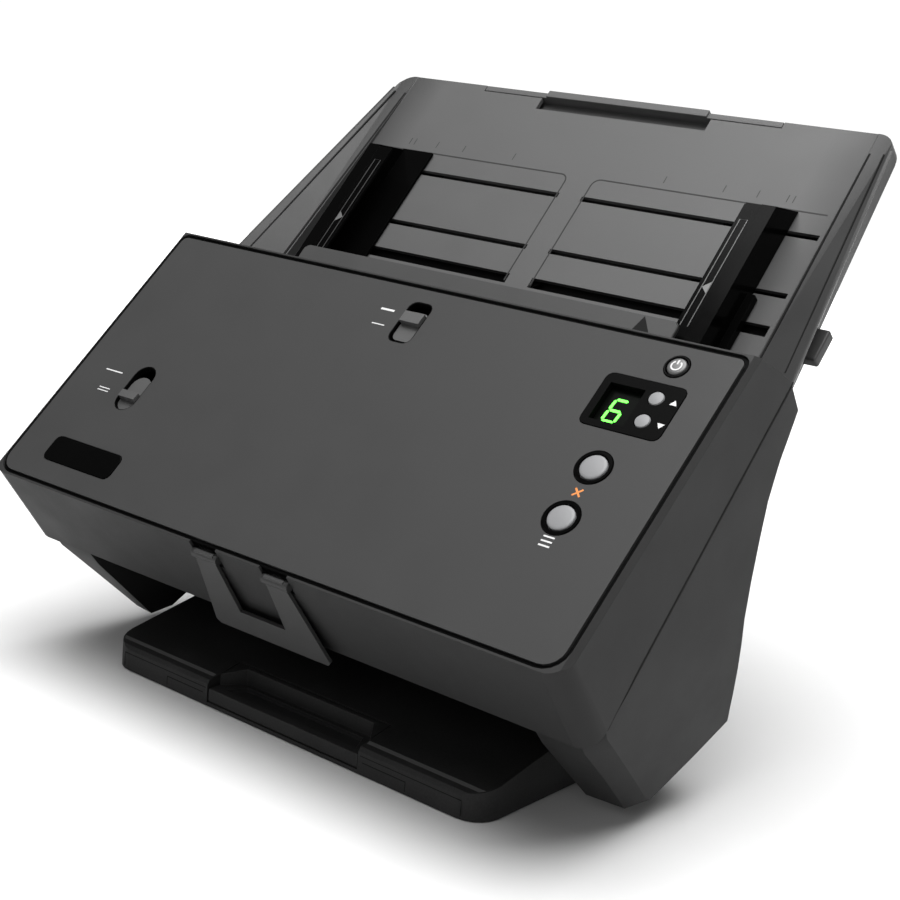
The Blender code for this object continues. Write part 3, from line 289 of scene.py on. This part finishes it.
def refine(node, width, segments=2, material=None, angle=28.0):
    """A copy of a CAD node with its flat faces whole again and its edges rounded; it stands for the node."""
    mesh = frame["nodes"][node].data.copy()
    mesh.name = node + "_fine"
    bm = bmesh.new()
    bm.from_mesh(mesh)
    bmesh.ops.remove_doubles(bm, verts=bm.verts, dist=WELD / 2)
    bmesh.ops.dissolve_limit(bm, angle_limit=radians(0.6), verts=bm.verts, edges=bm.edges)
    bm.normal_update()
    edges = [e for e in bm.edges if len(e.link_faces) == 2 and e.calc_face_angle(0) > radians(angle)]
    bmesh.ops.bevel(bm, geom=edges, offset=width * MM, segments=segments, profile=0.5, affect="EDGES",
                    clamp_overlap=True, harden_normals=False)
    bmesh.ops.triangulate(bm, faces=[f for f in bm.faces if len(f.verts) > 4])
    bm.to_mesh(mesh)
    bm.free()
    soften(mesh)
    piece = add_piece(node + "_fine", mesh, material or LOOKS[SLOT_OF[node]], BODY_OF[node])
    flatten = piece.modifiers.new("even_normals", "WEIGHTED_NORMAL")
    flatten.keep_sharp = True
    flatten.weight = 100
    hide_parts(node)
    return piece


def outline_piece(name, outlines, heights, matrix, material, body):
    """Flat outlines in millimetres, filled between two heights and then placed by the matrix."""
    low, high = heights
    curve = bpy.data.curves.new(name, "CURVE")
    curve.dimensions = "2D"
    curve.fill_mode = "BOTH"
    curve.extrude = (high - low) / 2 * MM
    for points in outlines:
        spline = curve.splines.new("POLY")
        spline.points.add(len(points) - 1)
        spline.use_cyclic_u = True
        for point, (x, y) in zip(spline.points, points):
            point.co = (x * MM, y * MM, 0.0, 1.0)
    temp = bpy.data.objects.new(name + "_curve", curve)
    bpy.context.scene.collection.objects.link(temp)
    bpy.context.view_layer.update()
    mesh = bpy.data.meshes.new_from_object(temp.evaluated_get(bpy.context.evaluated_depsgraph_get()))
    bpy.data.objects.remove(temp, do_unlink=True)
    mesh.transform(matrix @ Matrix.Translation((0, 0, (low + high) / 2 * MM)))
    bm = bmesh.new()
    bm.from_mesh(mesh)
    bmesh.ops.remove_doubles(bm, verts=bm.verts, dist=WELD)
    bmesh.ops.recalc_face_normals(bm, faces=bm.faces)
    bm.to_mesh(mesh)
    bm.free()
    soften(mesh)
    return add_piece(name, mesh, material, body)


def arc(centre, radius, start, stop, count):
    """Points along an arc, with its angles in degrees."""
    steps = [radians(start + (stop - start) * i / count) for i in range(count + 1)]
    return [(centre[0] + radius * cos(a), centre[1] + radius * sin(a)) for a in steps]


def bar(a, b, width):
    """Outline of a straight stroke between two points."""
    dx, dy = b[0] - a[0], b[1] - a[1]
    length = hypot(dx, dy)
    nx, ny = -dy / length * width / 2, dx / length * width / 2
    return [(a[0] + nx, a[1] + ny), (a[0] - nx, a[1] - ny), (b[0] - nx, b[1] - ny), (b[0] + nx, b[1] + ny)]


def stroke(points, width):
    """Outline of a bent line of even width."""
    left, right = [], []
    for i, p in enumerate(points):
        before, after = points[max(i - 1, 0)], points[min(i + 1, len(points) - 1)]
        dx, dy = after[0] - before[0], after[1] - before[1]
        length = hypot(dx, dy)
        left.append((p[0] - dy / length * width / 2, p[1] + dx / length * width / 2))
        right.append((p[0] + dy / length * width / 2, p[1] - dx / length * width / 2))
    return left + right[::-1]


def turned_piece(name, profile, matrix, material, body):
    """A profile of (radius, height) turned round its own axis."""
    mesh = bpy.data.meshes.new(name)
    bm = bmesh.new()
    verts = [bm.verts.new((r * MM, 0, z * MM)) for r, z in profile]
    edges = [bm.edges.new(pair) for pair in zip(verts, verts[1:])]
    bmesh.ops.spin(bm, geom=verts + edges, cent=(0, 0, 0), axis=(0, 0, 1), angle=2 * pi, steps=64,
                   use_merge=True)
    bmesh.ops.remove_doubles(bm, verts=bm.verts, dist=WELD)
    bmesh.ops.recalc_face_normals(bm, faces=bm.faces)
    bm.to_mesh(mesh)
    bm.free()
    mesh.transform(matrix)
    soften(mesh)
    return add_piece(name, mesh, material, body)


# ---- lid -------------------------------------------------------------------
# Each button's place on the panel (x, s) and its cap's radius; the rings' outer radii
BUTTONS = {"power": (129.6, 132.4, 4.0), "cancel": (122.2, 80.5, 5.6), "scan": (122.2, 56.5, 5.6),
           "up": (129.6, 116.2, 3.2), "down": (129.7, 105.1, 3.2)}
RINGS = {"power": 5.3, "cancel": 7.7, "scan": 7.7}


def lid_pieces():
    """The lid's mouldings with rounded edges, its keys and the rings round them."""
    refine("lid_shell", 0.45)
    refine("front_panel", 0.25)
    refine("display_bezel", 0.25)
    refine("badge_plate", 0.15)
    refine("mode_switch_knob", 0.3)
    refine("thickness_switch_knob", 0.3)
    refine("paper_stop_flap", 0.3, material=FLAP)
    slot_liners()
    for name, (x, s, cap) in BUTTONS.items():
        keycap(name, x, s, cap)
    for name, ring in RINGS.items():
        x, s, cap = BUTTONS[name]
        profile = [(ring, -2.6), (ring, 0.0), (ring - 0.3, 0.3), (cap + 0.75, 0.3), (cap + 0.4, -0.1),
                   (cap + 0.4, -2.6), (ring, -2.6)]
        piece = turned_piece(f"{name}_ring_fine", profile, panel_frame(x, s), LOOKS["gloss_black"], "lid")
        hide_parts(f"{name}_button_ring")


def rounded_slot(x, low, high, half, radius):
    """Outline of an upright slot with round corners."""
    corners = (((x + half - radius, high - radius), 0), ((x - half + radius, high - radius), 90),
               ((x - half + radius, low + radius), 180), ((x + half - radius, low + radius), 270))
    return [point for centre, start in corners for point in arc(centre, radius, start, start + 90, 8)]


def slot_liners():
    """Black walls inside the two switch slots."""
    wall = 0.5
    for name, x, low, high, half, radius in (("mode", -114.0, 44.0, 69.3, 6.3, 6.25),
                                             ("thickness", 1.1, 113.0, 135.4, 6.4, 4.0)):
        rings = [rounded_slot(x, low, high, half, radius),
                 rounded_slot(x, low + wall, high - wall, half - wall, radius - wall)]
        outline_piece(f"{name}_slot_liner", rings, (-3.0, -0.2), panel_frame(), LOOKS["black"], "lid")


def keycap(name, x, s, cap):
    """A round key with a slightly domed top and a collar below; the power key carries its sign."""
    proud = 0.55
    dome = [(cap * k / 6 * 0.9, proud + 0.25 * (1 - (k / 6) ** 2)) for k in range(7)]
    profile = dome + [(cap - 0.15, proud - 0.25), (cap, proud - 0.6), (cap, -3.4), (cap + 0.85, -3.4),
                      (cap + 0.85, -4.3), (0, -4.3)]
    look = POWER_CAP if name == "power" else LOOKS["keycap"]
    piece = turned_piece(f"{name}_keycap", profile, panel_frame(x, s), look, f"{name}_key")
    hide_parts(f"{name}_button")
    if name == "power":
        shapes = {"ring": stroke(arc((0, 0), 2.1, 125, 415, 20), 0.65), "bar": bar((0, 0.6), (0, 2.7), 0.65)}
        for part, shape in shapes.items():
            outline_piece(f"power_mark_{part}", [shape], POWER_PRINT, panel_frame(x, s), PRINT_WHITE,
                          "power_key")


def digit(x, s, height, lit):
    """Seven segment figure; the lit strokes glow."""
    width, thick, slant = height * 0.54, height * 0.12, 0.10
    corners = {"a": ((0, 2), (1, 2)), "b": ((1, 2), (1, 1)), "c": ((1, 1), (1, 0)), "d": ((0, 0), (1, 0)),
               "e": ((0, 1), (0, 0)), "f": ((0, 2), (0, 1)), "g": ((0, 1), (1, 1))}
    shapes = []
    for key in lit:
        (ax, ay), (bx, by) = corners[key]
        a = (ax * width + ay * height / 2 * slant, ay * height / 2)
        b = (bx * width + by * height / 2 * slant, by * height / 2)
        dx, dy = (b[0] - a[0]), (b[1] - a[1])
        length = hypot(dx, dy)
        ux, uy = dx / length, dy / length
        gap, half = thick * 0.15, thick / 2
        p0 = (a[0] + ux * gap, a[1] + uy * gap)
        p1 = (b[0] - ux * gap, b[1] - uy * gap)
        q0 = (p0[0] + ux * half, p0[1] + uy * half)
        q1 = (p1[0] - ux * half, p1[1] - uy * half)
        nx, ny = -uy * half, ux * half
        shapes.append([p0, (q0[0] + nx, q0[1] + ny), (q1[0] + nx, q1[1] + ny), p1, (q1[0] - nx, q1[1] - ny),
                       (q0[0] - nx, q0[1] - ny)])
    outline_piece("display_figure", shapes, DISPLAY_PRINT, panel_frame(x, s), LIGHT_GREEN, "lid")


def panel_prints():
    """Marks in place of lettering: arrows, strokes and simple signs."""
    here = panel_frame()
    arrows = {"up": [(136.0, 114.9), (139.3, 114.9), (137.7, 117.3)],
              "down": [(136.1, 105.9), (139.4, 105.9), (137.7, 103.5)]}
    for way, shape in arrows.items():
        outline_piece(f"arrow_{way}_mark", [shape], ARROW_KEY_PRINT, here, PRINT_WHITE, "lid")
    low, high = PRINT
    cross = [bar((120.6, 66.8), (124.0, 70.2), 0.8), bar((120.6, 70.2), (124.0, 66.8), 0.8)]
    for i, shape in enumerate(cross):
        outline_piece(f"cancel_mark_{i}", [shape], (low, high + 0.01 * i), here, PRINT_ORANGE, "lid")
    strokes = {f"scan_mark_{i}": bar((119.9, 43.6 + 2.0 * i), (124.9, 43.6 + 2.0 * i), 0.7) for i in range(3)}
    strokes["thick_mark"] = bar((-18.0, 128.0), (-10.5, 128.0), 1.0)
    strokes["thin_mark"] = bar((-17.5, 119.8), (-10.5, 119.8), 0.5)
    for i in range(2):
        strokes[f"stack_mark_{i}"] = bar((-134.5, 50.9 + 1.5 * i), (-127.5, 50.9 + 1.5 * i), 0.45)
    strokes["single_mark"] = bar((-138.5, 62.0), (-127.5, 62.0), 0.6)
    for name, shape in strokes.items():
        outline_piece(name, [shape], PRINT, here, PRINT_WHITE, "lid")


# ---- chute -----------------------------------------------------------------
def chute_pieces():
    """The chute, its guides and latch with rounded edges, and the fine lines on its floor."""
    refine("feed_chute", 0.35, material=CHUTE)
    refine("chute_extension", 0.3, material=CHUTE)
    refine("cover_release_latch", 1.0, segments=3, material=LIP)
    refine("left_paper_guide", 0.3)
    refine("right_paper_guide", 0.3)
    here = chute_frame()
    for side in (-1, 1):
        border = [(7.4, -4), (7.4, 54)] + arc((11.4, 54.7), 4.0, 180, 90, 5) + [(127.0, 58.7)]
        shape = stroke([(side * x, t) for x, t in border], 0.7)
        outline_piece(f"pocket_border_{side}", [shape], LINE, here, LINE_SOFT, "base")
        for i, x in enumerate((43, 74, 91, 105.5, 108.5)):
            shape = bar((side * x, 62.3), (side * x, 66.2), 0.35)
            outline_piece(f"size_tick_{side}_{i}", [shape], TICK, here, LINE_SOFT, "base")
    arrow = [(85.3, -29.6), (94.3, -29.0), (88.2, -21.0)]
    outline_piece("fill_mark", [arrow], FILL_PRINT, here, LINE_DARK, "lid")
    feed_lip_cover()
    rim_groove_shades()


def between(a, b, share):
    """The point that lies a share of the way from a to b."""
    return (a[0] + (b[0] - a[0]) * share, a[1] + (b[1] - a[1]) * share)


def chute_side(t, share):
    """Point on the sloped inside of the chute's rim: share 0 at the crease, 1 at the rim's inner edge."""
    up = (t - CHUTE_FOOT) / CHUTE_LENGTH
    return between(between(*CREASE, up), between(*RIM, up), share)


def rim_groove_shades():
    """Thin dark strips, which look like grooves, up both rims of the chute: painted groove shade."""
    here = chute_frame()
    for side in (-1, 1):
        for i, (share, width) in enumerate(((0.06, 0.9), (0.80, 0.7))):
            mesh = bpy.data.meshes.new(f"rim_groove_shade_{side}_{i}")
            bm = bmesh.new()
            rings = []
            for t in GROOVE_ENDS:
                x, h = chute_side(t, share)
                ring = [(x - width / 2, h - 0.4), (x + width / 2, h - 0.4), (x + width / 2, h + 0.22),
                        (x - width / 2, h + 0.02)]
                rings.append([bm.verts.new((side * px * MM, t * MM, ph * MM)) for px, ph in ring])
            for k in range(4):
                bm.faces.new((rings[0][k], rings[0][(k + 1) % 4], rings[1][(k + 1) % 4], rings[1][k]))
            bm.faces.new(rings[0])
            bm.faces.new(rings[1])
            bmesh.ops.recalc_face_normals(bm, faces=bm.faces)
            bm.to_mesh(mesh)
            bm.free()
            mesh.transform(here)
            add_piece(f"rim_groove_shade_{side}_{i}", mesh, LINE_DARK, "base")


def feed_lip_cover():
    """Lighter strip over the feed mouth, under the fill mark."""
    plan = [(-104.6, -31.0), (104.6, -31.0), (104.6, -22.6), (102.4, -20.6), (-102.4, -20.6), (-104.6, -22.6)]
    outline_piece("feed_lip_cover", [plan], FEED_LIP, chute_frame(), LIP, "lid")


def guide_marks():
    """Thin lighter lines that are painted highlights of the edges, and lighter arrows, on the tops of the
    guides.
    """
    here = chute_frame()
    for side, body in ((-1, "left_guide"), (1, "right_guide")):
        # a frame of painted highlight on each guide's top
        loop = [(101.0, -18), (101.0, 38), (104.6, 38), (104.6, -18)]
        shape = stroke([(side * x, t) for x, t in loop], 0.4)
        heights = (GUIDE_TOP, GUIDE_TOP + 0.2)
        outline_piece(f"guide_frame_mark_{side}", [shape], heights, here, GUIDE_HIGHLIGHT, body)
        arrow = [(side * 101.2, 2.0), (side * 104.4, 5.0), (side * 104.4, -1.0)]
        heights = (GUIDE_TOP, GUIDE_TOP + 0.25)
        outline_piece(f"guide_arrow_{side}", [arrow], heights, here, GUIDE_MARK, body)


# ---- base ------------------------------------------------------------------
def base_pieces():
    """The base's mouldings, tray and sockets with rounded edges."""
    for side in ("left", "right"):
        refine(f"{side}_cheek", 0.5, segments=3, angle=26)
    refine("base_chassis", 0.4)
    refine("base_pedestal", 0.8)
    refine("rear_cover", 0.5)
    refine("output_tray", 0.7, material=TRAY_TOP)
    refine("tray_extension", 0.5, material=TRAY_TOP)
    tray_details()
    seam_shade_strips()
    refine("power_socket", 0.2)
    refine("usb_socket", 0.2)


def seam_shade_strips():
    """Black strips in the gap between the lid and the cheeks: painted shade, so that the gap looks dark
    inside.
    """
    seam = [(31.2, 56.9), (47.5, 77.0), (80.1, 113.2), (133.7, 173.0)]
    shift_y, shift_z = SEAM_SHIFT * sin(PATH_TILT), -SEAM_SHIFT * cos(PATH_TILT)
    strip = stroke([(y + shift_y, z + shift_z) for y, z in seam], 0.5)
    across = Matrix(((0, 0, 1, 0), (1, 0, 0, -Y_MID * MM), (0, 1, 0, 0), (0, 0, 0, 1)))
    for side in (-1, 1):
        reach = sorted(side * x for x in SEAM_REACH)
        outline_piece(f"seam_liner_{side}", [strip], reach, across, LINE_DARK, "base")


def front_face(y):
    """Frame whose x runs along the machine and whose y runs up a face that looks forward."""
    return Matrix.Translation(world(0, y, 0)) @ Matrix.Rotation(pi / 2, 4, "X")


def tray_details():
    """Painted highlight on the tray's lip as a lighter band, and the fine joint lines of its front."""
    rise, run = 1.8, 4.8
    lip = Matrix.Translation(world(0, 34.0, 12.4)) @ Matrix.Rotation(atan2(rise, run), 4, "X")
    for side in (-1, 1):
        # lighter band of painted highlight along the sloped lip
        outline = ((45.2, -4.4), (97.0, -4.4), (102.6, -2.2), (105.4, 0.6), (45.2, 0.6))
        highlight_band = [(side * x, y) for x, y in outline]
        outline_piece(f"tray_lip_{side}", [highlight_band], (0.05, 0.25), lip, TRAY_HIGHLIGHT, "base")
        frame_line = [(45.6, 8.0), (98.5, 8.0), (98.5, 1.6)]
        shape = stroke([(side * x, z) for x, z in frame_line], 0.35)
        outline_piece(f"tray_front_line_{side}", [shape], LINE, front_face(TRAY_FRONT), LINE_DARK, "base")
        groove = bar((side * 47.0, 5.4), (side * 70.0, 5.4), 0.4)
        end = bar((side * 70.0, 1.2), (side * 70.0, 5.4), 0.3)
        for i, shape in enumerate((groove, end)):
            heights = (-0.05, 0.05 + 0.01 * i)
            outline_piece(f"tray_groove_{side}_{i}", [shape], heights, front_face(TRAY_FRONT), LINE_DARK,
                          "base")


def plain_nodes():
    """Every node that stays as it is gets its slot's finish."""
    for name, obj in frame["nodes"].items():
        obj.data.materials.clear()
        obj.data.materials.append(LOOKS[SLOT_OF[name]])


# ---- stage -----------------------------------------------------------------
def stage():
    """A round white floor that turns into pure white away from the object."""
    mat = finish("floor_white", grey(FLOOR_GREY), 0.6, mottle=0.01, specular=0.1)
    tree, add, join = node_tools(mat)
    place = add("ShaderNodeTexCoord")
    away = add("ShaderNodeVectorMath", operation="LENGTH")
    join(place.outputs["Object"], away.inputs[0])
    far = add("ShaderNodeMapRange", {"From Min": GLOW_FROM, "From Max": GLOW_FULL, "To Min": 0.0,
                                     "To Max": 1.0})
    join(away.outputs["Value"], far.inputs["Value"])
    shader = tree.nodes["Principled BSDF"]
    shader.inputs["Emission Color"].default_value = (1, 1, 1, 1)
    join(far.outputs["Result"], shader.inputs["Emission Strength"])
    mesh = bpy.data.meshes.new("floor")
    bm = bmesh.new()
    bmesh.ops.create_circle(bm, cap_ends=True, segments=96, radius=FLOOR_RADIUS)
    bm.to_mesh(mesh)
    bm.free()
    floor = bpy.data.objects.new("floor", mesh)
    floor.location = (0, 0, -FLOOR_DROP)
    bpy.context.scene.collection.objects.link(floor)
    mesh.materials.append(mat)


def sky():
    """Dim room with a white wall behind the object."""
    scene_world = bpy.data.worlds.new("studio")
    scene_world.use_nodes = True
    tree, add, join = node_tools(scene_world)
    place = add("ShaderNodeTexCoord")
    split = add("ShaderNodeSeparateXYZ")
    join(place.outputs["Generated"], split.inputs["Vector"])
    behind = add("ShaderNodeMapRange", {"From Min": 0.1, "From Max": 0.35, "To Min": 0.0, "To Max": 1.0})
    join(split.outputs["Y"], behind.inputs["Value"])
    low = add("ShaderNodeMapRange", {"From Min": 0.15, "From Max": 0.35, "To Min": 1.0, "To Max": 0.0})
    join(split.outputs["Z"], low.inputs["Value"])
    wall = add("ShaderNodeMath", operation="MULTIPLY")
    join(behind.outputs[0], wall.inputs[0])
    join(low.outputs[0], wall.inputs[1])
    level = add("ShaderNodeMapRange", {"From Min": 0.0, "From Max": 1.0, "To Min": SKY_DIM,
                                       "To Max": SKY_WHITE})
    join(wall.outputs[0], level.inputs["Value"])
    tree.nodes["Background"].inputs["Color"].default_value = (1, 1, 1, 1)
    join(level.outputs[0], tree.nodes["Background"].inputs["Strength"])
    bpy.context.scene.world = scene_world


def lamp(name, place, target, size, power):
    """A rectangular lamp turned towards its target, in metres and watts."""
    data = bpy.data.lights.new(name, "AREA")
    data.shape = "RECTANGLE"
    data.size, data.size_y = size
    data.energy = power
    obj = bpy.data.objects.new(name, data)
    obj.location = place
    obj.rotation_euler = (Vector(target) - Vector(place)).to_track_quat("-Z", "Y").to_euler()
    bpy.context.scene.collection.objects.link(obj)


def camera():
    """The camera that was solved from the photograph's straight edges."""
    turn, lift, roll = CAMERA_TURN, CAMERA_LIFT, CAMERA_ROLL
    back = Vector((sin(turn) * cos(lift), -cos(turn) * cos(lift), sin(lift)))
    side = (-back).cross(Vector((0, 0, 1))).normalized()
    down = (-back).cross(side)
    right = cos(roll) * side - sin(roll) * down
    below = sin(roll) * side + cos(roll) * down
    data = bpy.data.cameras.new("camera")
    data.sensor_width = 36.0
    data.lens = CAMERA_LENS
    data.clip_start = 0.02
    obj = bpy.data.objects.new("camera", data)
    matrix = Matrix((right, -below, back)).transposed().to_4x4()
    matrix.translation = world(*CAMERA_PLACE)
    obj.matrix_world = matrix
    bpy.context.scene.collection.objects.link(obj)
    bpy.context.scene.camera = obj


def studio():
    """Floor, sky, two lamps and the camera."""
    stage()
    sky()
    middle = (0, 0, 0.1)
    lamp("key", (0.12, -0.1, 2.0), middle, (2.0, 2.0), 118.0)
    lamp("front", (0.5, -2.0, 1.3), middle, (1.2, 0.8), 6.0)
    camera()
    bpy.context.scene.view_settings.view_transform = "Standard"


plain_nodes()
lid_pieces()
digit(x=111.0, s=103.0, height=10.5, lit="acdefg")
panel_prints()
chute_pieces()
guide_marks()
base_pieces()
studio()
